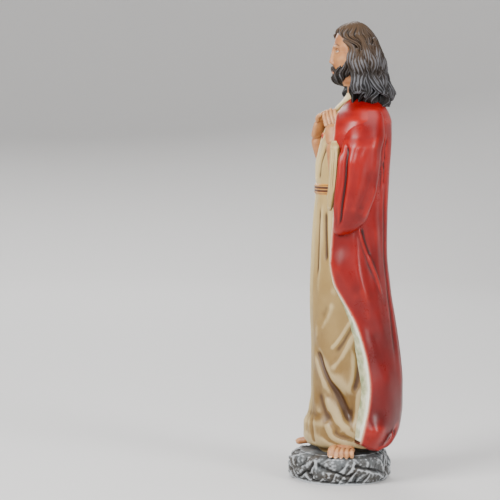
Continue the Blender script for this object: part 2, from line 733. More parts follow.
rock = {
    "width": 73.0, "depth": 66.0, "columns": 320, "sideRows": 70, "topRows": 50, "underRows": 12,
    "profile": [[0, 0.9], [0.14, 0.955], [0.5, 1.0], [0.72, 0.985], [0.88, 0.93], [1, 0.82]],
    # bends of the places where the stone is read: how far, size of the noise, its layers
    "bends": [[6, 19, (5, 6, 7)], [1.8, 6.5, (1, 2, 3)]],
    # lumps: how far they stand out, size, layer
    "lobes": [2.8, 26, 4], "hollows": [0.9, 8, 1], "grain": [0.42, 2.6, 3], "speckle": [0.21, 1.2, 6],
    # layers of broken stone: the way across them, their thickness and how far they stand out
    "layers": [[(0.35, 0.55, 0.9), 13.5, 1.9], [(-0.8, 0.3, 0.75), 9.5, 1.2],
               [(0.5, -0.85, 0.35), 4.6, 0.45]],
    # angle and height in millimetres of two points, width and depth
    "cracks": [
        [-150, 4, -118, 15, 1.4, 1.6], [-104, 13, -70, 7, 1.5, 1.7], [-60, 5, -34, 14, 1.3, 1.5],
        [-20, 14, 10, 6, 1.5, 1.5], [22, 4, 52, 13, 1.5, 1.8], [60, 12, 96, 6, 1.6, 2.0],
        [102, 14, 128, 9, 1.3, 1.6], [140, 5, 172, 12, 1.5, 1.5]],
    "degree": 0.6,       # millimetres to a degree round the rock
    "sunk": 0.8,         # taken off all round, so that what stands out keeps the rock's size
    "calmOnTop": 0.6,    # share of the roughness that the flat top loses
    "marks": [24, 3, 0.85, 0.2],
}


# Broken layers: a wave that rises slowly and falls back fast, so that each layer ends in a ledge.
def layersAt(points, way, thick):
    phase = points @ unitVector(way) / thick
    phase = phase - np.floor(phase)
    return np.where(phase < 0.8, phase / 0.8, (1 - phase) / 0.2) * 2 - 1


# Lumps at points: noise of a size and a layer, times how far it stands out.
def lumpsAt(points, lump):
    far, size, layer = lump
    return far * noiseAt(points, size, layer)


# Slanting cracks: bells of the distance from a line on the rock's side, none on its top.
def cracksAt(grid, height):
    around = np.degrees(np.arctan2(grid[..., 0], -grid[..., 1]))
    total = 0
    for angle0, low, angle1, high, width, deep in rock["cracks"]:
        t = np.clip(wrapped(around - angle0) / (angle1 - angle0), 0, 1)
        aside = wrapped(around - angle0 - t * (angle1 - angle0)) * rock["degree"]
        away = np.hypot(aside, height - low - t * (high - low))
        total = total + deep * bell(away, width)
    top = figure["rockHeight"]
    return total * smooth(top - 0.1, top - 1.5, grid[..., 2])


# Rock: rings go up its side, then in over its top as shrinking rings. Slow noise and three sets
# of broken layers stand out from it, read at places bent by noise, and cracks go in.
def makeRock():
    tall = figure["rockHeight"]
    angle = fullTurn(rock["columns"])[None]
    level = np.linspace(0, 1, rock["sideRows"])[:, None]
    share = tableAt(rock["profile"], level)
    sideX, sideY = sine(angle) * share * rock["width"] / 2, -cosine(angle) * share * rock["depth"] / 2
    side = spotsFrom(sideX, sideY, level * tall)
    top = side[-1][None] * np.linspace(1, 0.01, rock["topRows"])[1:, None, None]
    top[..., 2] = tall
    bottom = side[0][None] * np.linspace(0.01, 1, rock["underRows"])[:-1, None, None]
    bottom[..., 2] = 0
    grid = np.vstack([bottom, side, top])
    x, y, z = np.moveaxis(grid, -1, 0)
    way = spotsFrom(x, y, (z - tall * 0.45) * 1.4)  # a little steeper than from the middle
    way /= np.linalg.norm(way, axis=-1)[..., None] + 1e-6
    bent = grid
    for far, size, layers in rock["bends"]:
        bent = bent + far * np.stack([noiseAt(grid, size, n) for n in layers], -1)
    out = lumpsAt(grid, rock["lobes"]) + lumpsAt(bent, rock["hollows"])
    for n, (across, thick, high) in enumerate(rock["layers"]):
        patchy = 0.15 + 0.85 * smooth(-0.3, 0.3, noiseAt(grid, 15, n))
        out = out + high * patchy * layersAt(bent, across, thick)
    out = out + lumpsAt(bent, rock["grain"]) + lumpsAt(grid, rock["speckle"]) - rock["sunk"]
    out = out - cracksAt(grid, bent[..., 2])
    inside = smooth(0.86, 0.6, np.hypot(x / rock["width"], y / rock["depth"]) * 2)
    out = out * (1 - rock["calmOnTop"] * inside * smooth(tall - 0.5, tall, z)) * smooth(0, 1.5, z)
    grid = grid + way * out[..., None] * (1, 1, 0.8)
    grid[..., 2] = np.clip(grid[..., 2], 0, None)
    addPiece(meshFromParts("rock", [ringPart(grid)]), rock["marks"], rockPaint)


makeRock()

robe = {
    "columns": 232, "rows": 232, "strokeShare": 0.42, "softRounds": 4,
    "crowding": 36,       # degrees by which the columns crowd toward the front
    "degree": 0.166,      # length of a degree round it
    "hemLip": [0.45, 0.7],  # how far the hem's lip stands out, and its height
    "under": (0.1, 0.4, 0.7, 0.86, 0.94, 0.985), "underRise": 0.72,  # rings inside the hem
    "unevenness": [0.12, 14, 5], "marks": [48, 4, 1.8, 0.18],
    # height, front, back, half width
    "sections": [
        [-1.4, -4.6, 8, 7.4], [0.6, -5.4, 8.8, 8.2], [1.6, -7.6, 9.2, 9], [4, -8.4, 9.2, 9.3],
        [6.4, -8.3, 9.4, 9.3], [9, -7.2, 9.4, 9.3], [14.6, -6.7, 9.4, 9.3], [25, -6.8, 9.2, 9.3],
        [31, -7.1, 8.8, 9.4], [38, -7.3, 8.6, 9.4], [46.6, -7.1, 8, 9.2], [55.5, -6.7, 8, 8.7],
        [60, -6.4, 8, 8.3], [62.6, -6.4, 8.1, 8.4], [66, -6.4, 8.4, 9.2], [71, -5.6, 8.7, 10.2],
        [75, -4.2, 8.7, 10.3], [78, -2.8, 8, 8.3], [80, -1.5, 7, 5.6], [82, -0.3, 6, 3.9],
        [83.4, 0.5, 5.6, 3.1]],
    # angle and height of the upper and of the lower end, width in degrees, rise
    "strokes": [
        [-44, 58, -52, 6, 7, 0.6], [-27, 59, -34, 3, 6, 0.6], [-12, 60, -17, 2, 6, 0.6],
        [3, 59, -1, 2, 5, 0.55], [18, 60, 15, 28, 6, 0.5], [33, 59, 31, 36, 6, 0.5],
        [48, 58, 56, 40, 7, 0.5], [-62, 82, -8, 72, 6, 0.5], [62, 82, 8, 72, 6, 0.5],
        [-22, 73, -12, 63, 6, 0.5], [22, 73, 12, 63, 6, 0.5], [0, 69, 0, 63, 6, 0.4]],
    # points of (angle, height), width, rise, lean
    "folds": [
        [[(56, 38), (51, 35.5), (42.5, 33.2), (34, 31)], 0.85, -0.15, 0.2],
        [[(57, 35.6), (50, 33), (42, 30.4), (32, 28)], 0.6, 0.22, 0.2],
        [[(60, 40), (54, 36), (44, 33.8)], 0.81, 0.17, 0],
        [[(36, 28), (26, 28.2), (18, 28.4)], 1.7, 0.42, 0],
        [[(86, 32.6), (76, 30), (66, 27.4), (56, 25.4), (47, 24.2)], 0.46, 0.27, 0.3],
        [[(84, 30.6), (75, 28.2), (66, 25.6), (56, 23.4)], 0.5, -0.2, 0],
        [[(86, 28.8), (77, 26.2), (68, 23.4), (58, 21), (49, 19.6)], 0.5, 0.27, 0.3],
        [[(84, 26), (86.5, 22), (84, 17.4), (78, 14)], 0.5, -0.58, 0.2],
        [[(22, 24), (26.5, 22.3), (36, 19), (47, 15.9), (56.5, 13.5), (65, 11), (72, 8.9), (82, 6.8)],
         0.6, -0.94, 0.3],
        [[(42, 17), (54, 14), (66, 10.9), (76, 8.6), (88, 6.6)], 1.9, -1.4, 0.3],
        [[(6, 25.7), (21.5, 21.3), (38.5, 17), (49.5, 13.1), (58, 10.3), (71, 7.9), (84, 6)],
         0.94, 0.36, -0.3],
        [[(36, 23), (50, 18.8), (62, 15.6), (72, 13)], 1.3, 0.3, 0.2],
        [[(42, 13.4), (51, 10.2), (65, 7.2), (84, 5.2)], 0.57, 0.39, 0.2],
        [[(46, 10.4), (56, 8), (66, 6.2), (80, 4.6)], 0.36, -0.43, 0],
        [[(90, 16), (86, 12), (84, 9), (85, 6.7), (89, 4.6)], 0.54, 0.55, 0.3],
        [[(13, 20), (11.5, 15.3), (22, 11.4), (38, 8.2)], 0.74, 0.24, 0],
        [[(28, 14.5), (36, 11.6), (45, 9), (52, 6.6)], 0.6, -0.32, 0],
        [[(4, 16), (5, 11), (9, 7), (14, 4)], 0.55, -0.43, 0],
        [[(20, 8.4), (27, 5), (30, 1.6)], 0.45, -0.38, 0],
        [[(50, 7.4), (57, 4.6), (68, 3.2), (84, 2.2)], 0.49, 0.45, 0.2],
        [[(60, 5.6), (66, 4.4), (74, 3.9), (84, 3.2)], 0.3, -0.46, 0],
        [[(64, 5.9), (76, 5.1), (87, 4.2)], 0.46, 0.38, 0],
        [[(40, 3.6), (56, 1.9), (70, 1.4), (84, 1.4)], 0.54, 0.38, 0],
        [[(-36, 57), (-41, 40), (-43, 22), (-44, 8)], 0.7, -0.26, 0],
        [[(-20, 58), (-24, 42), (-26, 24), (-26, 7)], 0.6, -0.43, 0],
        [[(-5, 58), (-7, 42), (-9, 24), (-9, 6)], 0.6, -0.41, 0],
        [[(11, 58), (11, 46), (9, 34)], 0.5, -0.52, 0],
        [[(26, 58), (27, 49), (28, 40)], 0.5, -0.49, 0], [[(40, 57), (43, 50), (46, 44)], 0.5, -0.49, 0],
        [[(-58, 56), (-60, 34), (-58, 14)], 0.81, 0.3, 0.2],
        [[(-30, 6.6), (-24, 9), (-20, 12)], 0.68, 0.3, 0], [[(-8, 5), (-10, 8.4), (-14, 12)], 0.68, 0.3, 0],
        [[(-14, 70), (-9, 66), (-7, 63)], 0.4, -0.43, 0], [[(14, 70), (9, 66), (7, 63)], 0.4, -0.43, 0],
        [[(-30, 72), (-22, 67), (-18, 63)], 0.4, -0.43, 0], [[(30, 72), (22, 67), (18, 63)], 0.4, -0.43, 0],
        [[(46, 80), (44, 76), (44, 71)], 0.9, -0.6, 0],
        [[(-50, 80), (-34, 76), (-18, 74)], 0.54, 0.3, 0], [[(50, 80), (34, 76), (18, 74)], 0.54, 0.3, 0]],
    "hem": [
        [-180, 1.6], [-90, 1.8], [-62, 3.2], [-40, 4.6], [-26, 5], [-12, 4.4], [-3, 3], [6, 1.6],
        [16, 0.2], [28, -0.6], [44, -0.7], [54, -0.2], [66, 0.8], [80, 1.6], [96, 1.2], [180, 1.6]],
}


# Robe: rings between a waving hem and the neck; the folds raise each point of its section. The
# first rings turn under at the hem, out from the middle.
def makeRobe():
    turn = fullTurn(robe["columns"])
    angle = wrapped(turn - robe["crowding"] * sine(turn))[None]
    hem = tableAt(robe["hem"], angle)
    top = robe["sections"][-1][0]
    edge = (top - hem) * np.linspace(0, 1, robe["rows"])[:, None]
    height = hem + edge
    rise = clothRise(robe, robe["folds"], angle, height) * smooth(top, top - 3, height)
    lip, high = robe["hemLip"]
    rise = rise + lip * (0.55 + 0.25 * sine(angle * 7)) * bell(edge, high)
    rise = rise - 0.45 * bell(edge, 0.22)
    rings = []
    for inside in robe["under"]:
        ring = bodyPoint(robe["sections"], angle, hem, inside, rise[:1] * inside)
        ring[..., 2] += unit * robe["underRise"] * np.sqrt(1 - inside ** 8)
        rings.append(ring)
    grid = np.vstack(rings + [bodyPoint(robe["sections"], angle, height, 1, rise)])
    grid = grid + lumpsAt(grid, robe["unevenness"])[..., None] * (1, 1, 0)
    addPiece(meshFromParts("robe", [ringPart(grid)]), robe["marks"], creamPaint)


makeRobe()

belt = {
    "low": 59.7, "high": 62.5, "rise": 0.3, "pleatShare": 0.35, "rows": 32, "columns": 240,
    "lines": [60.35, 61.1, 61.85], "lineRise": 0.13, "lineWidth": 0.16, "marks": [9, 2, 0.5, 0.07],
}


# Belt: a band on the robe's section with rounded edges and three fine raised lines.
def makeBelt():
    turn = fullTurn(belt["columns"])[None]
    height = np.linspace(belt["low"], belt["high"], belt["rows"])[:, None]
    middle, half = (belt["low"] + belt["high"]) / 2, (belt["high"] - belt["low"]) / 2
    edge = np.sqrt(np.clip(1 - ((height - middle) / half) ** 6, 0, 1))
    lines = sum(belt["lineRise"] * bell(height - line, belt["lineWidth"]) for line in belt["lines"])
    pleats = strokesAt(robe["strokes"], wrapped(turn), height) * belt["pleatShare"]
    rise = belt["rise"] + lines * edge - 0.9 * (1 - edge) + pleats
    grid = bodyPoint(robe["sections"], turn, height, 1, rise)
    addPiece(meshFromParts("belt", [ringPart(grid)]), belt["marks"], beltPaint)


collar = {
    "columns": 170, "sides": 16, "marks": [11, 3, 0.6, 0.1],
    "drop": [[-180, 83.2], [-120, 83.4], [-70, 82.9], [-40, 81.6], [-18, 79.8], [0, 78.8],
             [18, 79.8], [40, 81.6], [70, 82.9], [120, 83.4], [180, 83.2]],
    "rolls": [[0.0, 0.62, 0.25], [0.95, 0.5, -0.35]],  # height above the drop, radius, how far out
}


# Collar: two cloth rolls round the neck, each a round tube along the robe's own section at the
# collar's height for each angle.
def makeCollar():
    around = fullTurn(collar["columns"])[:, None]
    turn = fullTurn(collar["sides"])[None]
    parts = []
    for lift, radius, out in collar["rolls"]:
        height = tableAt(collar["drop"], wrapped(around)) + lift
        thick = radius * (1 + 0.18 * sine(around * 5 + 40 * lift) + 0.1 * sine(around * 11))
        height, out = height + thick * sine(turn) * 0.9, out + thick * cosine(turn)
        parts.append(ringPart(bodyPoint(robe["sections"], around, height, 1, out), looped=True))
    addPiece(meshFromParts("collar", parts), collar["marks"], creamPaint)


makeBelt()
makeCollar()

cloak = {
    "columns": 232, "rows": 232, "strokeShare": 0.36, "softRounds": 4,
    "crowding": 0.022,    # how far the columns crowd toward the front edges
    "degree": 0.21,       # length of a degree round it
    # height, front, back, half width, angles of the right and the left front edge
    "sections": [
        [1, -6.6, 12.2, 12.1, -46, 89], [2.5, -7, 12.9, 12.6, -42, 89], [4.4, -7.5, 13.6, 13, -37, 90],
        [7, -8.2, 14, 13.4, -33, 92],
        [11, -8.2, 14.3, 13.4, -38, 96], [16, -7.9, 14.2, 13.1, -49, 98], [21.5, -7.5, 13.6, 12.6, -58, 96],
        [26, -7.4, 13, 12.3, -62, 91], [31.5, -7.8, 12.1, 11.8, -64, 82], [36, -8, 11.3, 11.4, -65, 70],
        [40, -8.1, 10.8, 11.2, -62, 59], [45, -7.9, 10.2, 10.9, -51, 54], [49.5, -7.6, 10, 10.8, -43, 54],
        [55.5, -7.2, 10, 10.8, -37, 55], [61, -6.8, 10.1, 11, -35, 49], [66, -6.8, 10.4, 11.5, -33, 45],
        [70.4, -6.5, 10.8, 12.2, -36, 46], [74, -5.7, 11, 12.4, -37, 44], [76.6, -4.4, 11, 11.7, -34, 37],
        [78.8, -2.9, 10.4, 9.7, -29, 30], [80.8, -1, 9.2, 6.8, -29, 30], [82.2, 0.5, 8, 4.9, -40, 38],
        [83.2, 1.8, 7.2, 4.1, -76, 78]],
    "strokes": [
        [-106, 61, -88, 49, 8, 0.8], [-88, 49, -74, 34, 8, 0.9], [-96, 37, -84, 29, 9, 0.6],
        [-108, 31, -68, 17, 9, 0.9], [-124, 24, -80, 3, 13, -1.4], [-140, 30, -112, 4, 10, 1],
        [-60, 11, -52, 2, 11, 0.9], [-150, 76, -156, 4, 8, 0.8], [-128, 72, -140, 34, 8, -0.6],
        [-178, 74, -188, 4, 9, 0.8], [154, 76, 158, 8, 9, 0.8], [134, 72, 136, 30, 8, -0.5],
        [84, 52, 106, 30, 9, 0.9], [118, 44, 124, 14, 10, 0.6],
        [-166, 60, -170, 10, 7, -0.7], [172, 66, 176, 12, 7, -0.7]],
    "hem": [[-180, 5.4], [-140, 4.4], [-104, 1.4], [-60, 1], [-34, 1.8], [80, 3.4], [92, 2.7], [106, 1.5],
            [125, 1.1], [146, 1.3], [160, 3.4], [180, 5.6]],
    "folds": [
        [[(-114, 60), (-104, 53.4), (-93, 47.5), (-83, 41.8), (-77, 37)], 0.6, 0.45, 0.3],
        [[(-108, 50), (-98, 43), (-90, 37)], 1.4, -0.25, 0],
        [[(-126, 35), (-112, 28.6), (-96, 22.8), (-80, 19.2), (-70, 19), (-64, 22)], 1.5, 0.6, -0.2],
        [[(-114, 26), (-98, 19.6), (-82, 16), (-66, 15.4)], 1.3, -0.2, 0],
        [[(-112, 38), (-100, 36), (-91, 33), (-87, 30)], 1.4, 0.5, 0.2],
        [[(-100, 31.2), (-93, 29.4), (-86, 28)], 0.55, 0.38, 0.3],
        [[(-93, 27), (-88, 24.8), (-84, 22.6)], 0.5, 0.3, 0.3],
        [[(-96, 29), (-90, 27), (-84, 25.4)], 0.42, -0.22, 0],
        [[(-84, 31), (-77, 26), (-74, 22)], 1.2, -0.14, 0],
        [[(-146, 27), (-128, 22), (-112, 17.4), (-98, 12), (-84, 5)], 2.6, -1, 0.2],
        [[(-60, 12), (-50, 9), (-40, 5.6)], 1.1, 0.4, 0],
        [[(-152, 33), (-162, 29.6), (-172, 26.6), (-178, 21)], 0.7, 0.5, 0.3],
        [[(-146, 34), (-158, 30.4), (-168, 27.4)], 0.6, -0.4, 0],
        [[(-141, 77), (-138, 73.5), (-131, 70.6), (-125, 69)], 0.4, -0.63, 0],
        [[(-146, 76), (-143, 71), (-136, 67)], 0.4, 0.49, 0],
        [[(90, 53), (100, 49), (110, 45.4), (121, 41), (131, 36)], 0.42, 0.59, 0.3],
        [[(96, 53), (103, 48.8), (112, 45.4)], 0.7, -0.4, 0],
        [[(121, 55), (130, 47), (135, 39), (137, 28)], 1.4, 0.35, 0.2],
        [[(58, 48), (70, 44), (84, 39.5), (98, 35.6), (110, 30)], 2.8, 0.75, 0.2],
        [[(90, 38), (100, 33), (110, 28.6), (120, 24.6), (130, 17)], 1.8, -0.36, 0],
        [[(112, 1.2), (123, 2), (129.5, 3.1), (134, 4.2), (140, 5.6)], 0.34, 1.05, -0.2],
        [[(92, 6), (90.5, 4.6), (94, 3), (103, 1.8)], 0.7, 0.15, 0],
        [[(110, 29.4), (114.5, 26.9), (120, 24), (126, 18)], 1.2, -0.12, 0.2],
        [[(131, 0.8), (138, 2.4), (144, 4), (150, 6)], 0.7, -1.1, 0],
        [[(139, 73), (137.5, 70.4), (141, 68)], 0.26, -0.7, 0],
        [[(134, 74.5), (133, 70.5), (136, 67)], 0.3, 0.42, 0],
        [[(137.5, 68), (142, 65.6), (142, 62.5)], 0.26, -0.7, 0],
        [[(134, 67), (138, 64.6), (138, 61)], 0.3, 0.39, 0],
        [[(146, 66), (150, 50), (150, 34), (146, 20)], 0.7, -0.35, 0.2],
        [[(160, 72), (164, 52), (166, 32), (164, 12)], 0.7, 0.3, 0.2],
        [[(-160, 70), (-161, 50), (-160, 36)], 0.7, -0.35, 0.2],
        [[(180, 50), (184, 34), (182, 14)], 0.6, -0.3, 0]],
    "ball": [107, 5.4, 3.1, 1.8],  # angle, height, radius and rise of the gathered corner
    # way back through the figure: column that it starts from, share of the section, degrees past
    "through": [(-1, 0.985, 0.3), (-1, 0.95, 0.8), (-1, 0.8, 5), (-1, 0.6, 12), (-1, 0.5, 60),
                (0, 0.5, -60), (0, 0.6, -12), (0, 0.8, -5), (0, 0.95, -0.8), (0, 0.985, -0.3)],
    "under": (0.3, 0.6, 0.8, 0.9, 0.96, 0.985), "underRise": 1.6,  # rings inside the hem
    "rimWidth": 0.36, "unevenness": [0.14, 16, 6], "marks": [37, 4, 1.3, 0.14],
}
cloakTop = cloak["sections"][-1][0]


# Angle round the cloak at a share of the way from its right front edge round the back to its
# left one, and the height there between the waving hem and the neck, each from the other in turn.
def cloakPlace(across, share):
    height = cloakTop * share + 0 * across
    for _ in range(3):
        right, left = tableAt(cloak["sections"], height, 4), tableAt(cloak["sections"], height, 5)
        angle = right - (360 - left + right) * across
        hem = tableAt(cloak["hem"], wrapped(angle))
        height = hem + (cloakTop - hem) * share
    return angle, height, hem


# Rise of the cloak: its folds and a round gathered corner, calm at the neck and drawn in at the hem.
def cloakRise(angle, height, hem):
    rise = clothRise(cloak, cloak["folds"], wrapped(angle), height)
    a, h, radius, lift = cloak["ball"]
    away = np.hypot(wrapped(angle - a) * cloak["degree"], height - h)
    rise = (rise + lift * bell(away, radius)) * smooth(cloakTop, cloakTop - 3, height)
    return rise - 0.5 * bell(height - hem, 0.35)


# Cloak: each ring runs round the outside from one front edge to the other, rolls in over the
# edge and comes back through the inside of the figure. The lowest rings turn under the hem.
def makeCloak():
    share = np.linspace(0, 1, cloak["rows"])[:, None]
    across = np.linspace(0, 1, cloak["columns"])[None]
    across = across - cloak["crowding"] * sine(360 * across)
    angle, height, hem = cloakPlace(across, share)
    outer = bodyPoint(cloak["sections"], angle, height, 1, cloakRise(angle, height, hem))
    inner = [bodyPoint(cloak["sections"], angle[:, column] - turn, height[:, column], scale)[:, None]
             for column, scale, turn in cloak["through"]]
    grid = np.concatenate([outer] + inner, axis=1)
    middle = np.array([0, tableAt(bodyAxis, 3.0) * unit])
    rings = []
    for inside in cloak["under"]:
        ring = grid[:1].copy()
        ring[..., :2] = middle + (ring[..., :2] - middle) * inside
        ring[..., 2] += cloak["underRise"] * np.sqrt(1 - inside ** 10)
        rings.append(ring)
    grid = np.vstack(rings + [grid])
    grid = grid + lumpsAt(grid, cloak["unevenness"])[..., None] * (1, 1, 0)
    fromEdge = np.minimum(np.abs(angle - angle[:, :1]), np.abs(angle - angle[:, -1:])) * cloak["degree"]
    rim = np.zeros(grid.shape[:2])
    rim[len(rings):, :outer.shape[1]] = bell(fromEdge, cloak["rimWidth"])
    mesh = meshFromParts("cloak", [ringPart(grid)])
    setMark(mesh, "rim", np.append(rim.ravel(), [0, 0]))
    addPiece(mesh, cloak["marks"], redPaint)


lining = {
    "rows": 230, "columns": 18, "start": 0.01, "marks": [13, 3, 0.8, 0.1],
    "slant": 17.0,        # degrees that its inner edge lies further forward
    "inside": [[0, 0.48], [13, 0.5], [26, 0.64], [84, 0.64]],  # share of the section, inner edge
    "narrowing": [0.75, 0.03],  # share of its width at the hem, and how soon it is full
    "ripples": [[0.25, 60, 0], [0.15, 137, 1]],  # size, rate up the edge and start of its waves
}


# Lining: along each front edge a strip rolls over the rim and slants in and forward until it
# is inside the robe, as straight lines from the rim to the inner edge, bowed out a little.
def makeLining():
    share = np.linspace(lining["start"], 1, lining["rows"])[:, None]
    t = np.linspace(0, 1, lining["columns"])[None, :, None]
    slow, quick = (size * np.sin(share * rate + start) for size, rate, start in lining["ripples"])
    ripple = slow * smooth(0, 0.2, share) + quick
    least, full = lining["narrowing"]
    wide = least + (1 - least) * smooth(0, full, share - lining["start"])
    parts = []
    for across, side in ((0.0, -1), (1.0, 1)):
        angle, height, hem = cloakPlace(np.array([[across]]), share)
        rise = cloakRise(angle, height, hem)

        def edgeAt(turn, scale=1, lift=0):
            return bodyPoint(cloak["sections"], angle + side * turn, height, scale, lift)

        rim, tucked, ahead = edgeAt(0, 1, rise), edgeAt(0.6, 0.97, rise), edgeAt(-1.2, 1, rise - 0.15)
        slant = lining["slant"] * smooth(cloakTop, cloakTop - 14, height)
        inner = edgeAt(-slant, tableAt(lining["inside"], height))
        strip = rim + (inner - rim) * wide[..., None] * t
        strip = strip + (ahead - rim) * np.sin(np.pi * t ** 0.7) * (1 + ripple)[..., None]
        parts.append(ringPart(np.concatenate([tucked, strip, edgeAt(10, 0.7)], axis=1)))
    addPiece(meshFromParts("cloak_lining", parts), lining["marks"], liningPaint)


makeCloak()
makeLining()

sleeve = {
    "rows": 145, "columns": 110, "insideColumns": 26, "strokeShare": 0.12, "softRounds": 2,
    "degree": 0.075, "marks": [23, 3, 1.0, 0.12],
    # side, how far it is moved back, and a factor on its reach to the front
    "arms": {"left": (1, 0.6, 1), "right": (-1, -0.6, 1)},
    # height, how far to the side, depth, half width, reach
    "sections": [
        [50.8, 10.3, -2, 0.5, 0.8], [51.4, 10.4, -1.6, 1.5, 2], [52.6, 10.7, -0.9, 2.4, 3],
        [54.4, 11, -0.2, 3, 3.8], [57.3, 11.4, 0.1, 3.5, 4.4], [60.9, 11.6, 0.7, 3.7, 4.9],
        [64.4, 11.7, 1.2, 3.7, 5], [68, 11.7, 1.6, 3.6, 4.9], [70.8, 11.6, 2.2, 3.5, 4.6],
        [73.3, 10.7, 2.9, 3.2, 4.6], [75.4, 9.5, 3.2, 3.15, 4.4], [77.6, 7.9, 3.4, 3, 4.2],
        [79.4, 6.1, 3.8, 2.75, 3.4], [81, 4.5, 4, 1.5, 1.9]],
    # height, where the mouth starts on the outer side and on the inner side
    "mouth": [[51.4, -30, -31], [52.6, 6, -64], [55, 18, -80], [60, 22, -84], [67, 20, -82], [70.4, 12, -70],
              [72, -6, -50], [72.8, -30, -31]],
    "hollow": [[51.4, 0.02], [53, 0.6], [56, 0.82], [66, 0.84], [70, 0.7], [72, 0.3], [72.8, 0.02]],
    "left": [
        [[(24, 72.4), (44, 69.6), (52, 66), (55, 61), (52, 56), (46, 53)], 0.36, -0.6, 0.2],
        [[(14, 71), (30, 66.6), (36, 61), (36, 56)], 0.5, 0.3, 0],
        [[(66, 70), (78, 65), (82, 59.6), (78, 55)], 1.2, 0.3, 0.2],
        [[(8, 73), (26, 73.4), (44, 73.2)], 0.6, -0.2, 0],
        [[(150, 63), (146, 58), (130, 54.4)], 0.8, 0.35, 0.2],
        [[(132, 66), (124, 60), (114, 56)], 0.9, -0.25, 0],
        [[(118, 74), (126, 70), (128, 65)], 0.8, 0.25, 0]],
    "right": [
        [[(10, 73.2), (40, 73.2), (67, 72.4), (92, 71), (106, 68.4), (112, 65.4)], 0.42, 0.6, 0.3],
        [[(18, 72.4), (46, 72), (72, 70.6), (96, 68.2), (106, 65.4)], 0.42, -0.65, 0.2],
        [[(32, 71.4), (60, 70.8), (84, 69.2), (104, 66)], 0.38, 0.42, 0.3],
        [[(28, 71), (38, 66), (42, 60), (38, 55)], 0.4, 0.32, 0],
        [[(40, 70), (50, 64), (52, 58)], 0.6, -0.3, 0],
        [[(56, 66), (68, 62.4), (84, 60), (98, 58.6)], 0.8, -0.3, 0],
        [[(100, 67), (94, 64.4), (80, 62.6), (70, 59)], 0.9, 0.4, 0.2],
        [[(150, 70), (150, 63), (140, 57), (120, 53.6)], 0.8, 0.35, 0.2],
        [[(20, 78), (16, 75.6), (12, 73.6)], 0.4, 0.3, 0]],
    "strokes": [
        [30, 74, 18, 54, 10, 0.5], [68, 74, 52, 54, 11, 0.6], [112, 73, 92, 55, 11, 0.5],
        [50, 71, 34, 55, 8, -0.5], [90, 72, 74, 56, 8, -0.5], [140, 70, 128, 56, 10, 0.4]],
}


# Rings of a hanging sleeve: round the outside from one side of its mouth to the other, over the
# rim and back round a smaller ellipse that hollows it. A closed mouth leaves no hollow.
def sleevePart(shape, arm, folds):
    low, high = endsOf(shape["sections"])
    height = np.linspace(low, high, shape["rows"])[:, None]
    out, depth, width, reach = columnsAt(shape["sections"], height, 4)
    side, shift, reachShare = arm
    depth, reach = depth + shift, reach * reachShare
    first, last = tableAt(shape["mouth"], height), tableAt(shape["mouth"], height, 2) + 360
    angle = first + (last - first) * np.linspace(0, 1, shape["columns"])[None]
    rim = bell(angle - first, 5) + bell(last - angle, 5)
    rise = clothRise(shape, folds, wrapped(angle), height) + 0.12 * rim * smooth(0, 12, last - first - 300)

    def ellipse(angles, share, lift=0):
        x, y = side * sine(angles) * (width * share + lift), cosine(angles) * (reach * share + lift)
        return placed(spotsFrom(side * out + x, depth - y, height))

    hollow = tableAt(shape["hollow"], height)
    back = np.linspace(1, 0, shape["insideColumns"])[None]
    inside = ellipse(first + (last - first) * back, hollow)
    rimOut = ellipse(last + 2.5 * hollow, 0.5 + 0.5 * hollow)
    rimIn = ellipse(first - 2.5 * hollow, 0.5 + 0.5 * hollow)
    return ringPart(np.concatenate([ellipse(angle, 1, rise), rimOut, inside, rimIn], axis=1))


cuff = {
    "rows": 84, "columns": 84, "insideColumns": 20, "strokeShare": 0.3, "softRounds": 2,
    "degree": 0.075, "marks": [14, 3, 0.7, 0.1],
    "arms": {"left": (1, -0.1, 0.7), "right": (-1, -0.6, 1)},
    "sections": [
        [56.4, 9.6, -3.95, 0.6, 0.5], [57.2, 9.7, -3.9, 1.3, 0.95], [59.5, 9.9, -3.65, 1.9, 1.3],
        [62.6, 10, -3.3, 2.3, 1.5], [67.3, 9.6, -3.0, 2.5, 1.65], [70.8, 8.8, -2.8, 2.3, 1.7],
        [72.4, 8.1, -2.7, 1.6, 1.35]],
    "mouth": [[58, -40, -41], [60.5, -8, -72], [66, 0, -84], [71, 4, -88], [72.4, 6, -90]],
    "hollow": [[58, 0.02], [60.5, 0.5], [64, 0.7], [71, 0.75], [72.4, 0.78]],
    "left": [
        [[(40, 71.6), (36, 66), (34, 60)], 0.35, 0.2, 0], [[(70, 71), (66, 66), (70, 61)], 0.4, -0.2, 0],
        [[(100, 71), (98, 65), (96, 60)], 0.4, 0.2, 0], [[(14, 71), (10, 66), (10, 61)], 0.35, -0.2, 0]],
    "right": [
        [[(44, 71.6), (40, 66), (36, 59)], 0.8, 0.25, 0], [[(86, 71), (80, 66), (76, 60)], 0.5, -0.15, 0]],
    "strokes": [[20, 72, 10, 58, 14, 0.3]],
}


# Two sleeves of one kind, each with its own side and folds.
def makeSleevePair(label, shape, material):
    for name, arm in shape["arms"].items():
        mesh = meshFromParts(label + "_" + name, [sleevePart(shape, arm, shape[name])])
        addPiece(mesh, shape["marks"], material)


makeSleevePair("sleeve", sleeve, redPaint)
makeSleevePair("cuff", cuff, creamPaint)

